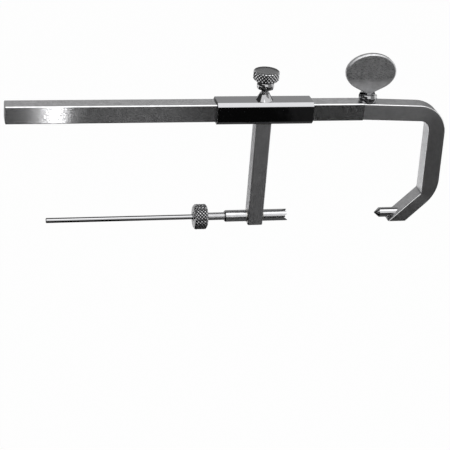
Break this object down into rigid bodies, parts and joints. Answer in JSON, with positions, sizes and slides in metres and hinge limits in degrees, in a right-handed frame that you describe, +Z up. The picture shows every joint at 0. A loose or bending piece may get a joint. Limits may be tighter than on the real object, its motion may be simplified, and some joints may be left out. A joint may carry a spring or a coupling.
{
  "type": "drill guide",
  "caption": "C-shaped drill guide: a square bar with a clamped slider whose arm carries a toothed guide sleeve and drill wire, facing the aim pin of a plug-in hook.",
  "frame": {"origin": "centre of the free end face of the square bar", "axes": "+X along the bar towards the hook, +Z up through both screws, +Y from front to back; the drill axis lies 45 mm below the bar in the plane Y = 0"},
  "size_m": [0.1728, 0.01, 0.0729],
  "materials": {
    "satin_steel": "satin brushed",
    "polished_steel": "mirror polished",
    "knurled_steel": "diamond knurled"
  },
  "bodies": {
    "bar": {"main_bar": "satin_steel"},
    "slider": {"slider_sleeve": "polished_steel", "slider_boss": "polished_steel", "guide_arm": "satin_steel", "guide_sleeve": "polished_steel"},
    "lock": {"lock_screw": "knurled_steel"},
    "insert": {"insert_tube": "satin_steel", "insert_knob": "knurled_steel"},
    "wire": {"drill_wire": "polished_steel"},
    "hook": {"hook_arm": "satin_steel", "aim_pin": "polished_steel"},
    "spade": {"spade_stud": "polished_steel", "spade_paddle": "satin_steel"}
  },
  "joints": [
    {"name": "slider_slide", "type": "slide", "parent": "bar", "child": "slider", "axis": [-1, 0, 0], "range_m": [-0.018, 0.078]},
    {"name": "lock_turn", "type": "hinge", "parent": "slider", "child": "lock", "pos_m": [0.0983, 0, 0.016], "axis": [0, 0, 1], "range_deg": [0, 720]},
    {"name": "insert_slide", "type": "slide", "parent": "slider", "child": "insert", "axis": [1, 0, 0], "range_m": [-0.015, 0.00705]},
    {"name": "wire_feed", "type": "slide", "parent": "insert", "child": "wire", "axis": [1, 0, 0], "range_m": [-0.036, 0.0355]},
    {"name": "hook_plug", "type": "slide", "parent": "bar", "child": "hook", "axis": [1, 0, 0], "range_m": [0, 0.0155]},
    {"name": "spade_turn", "type": "hinge", "parent": "hook", "child": "spade", "pos_m": [0.1396, 0, 0.015], "axis": [0, 0, 1], "range_deg": [0, 720]}
  ]
}
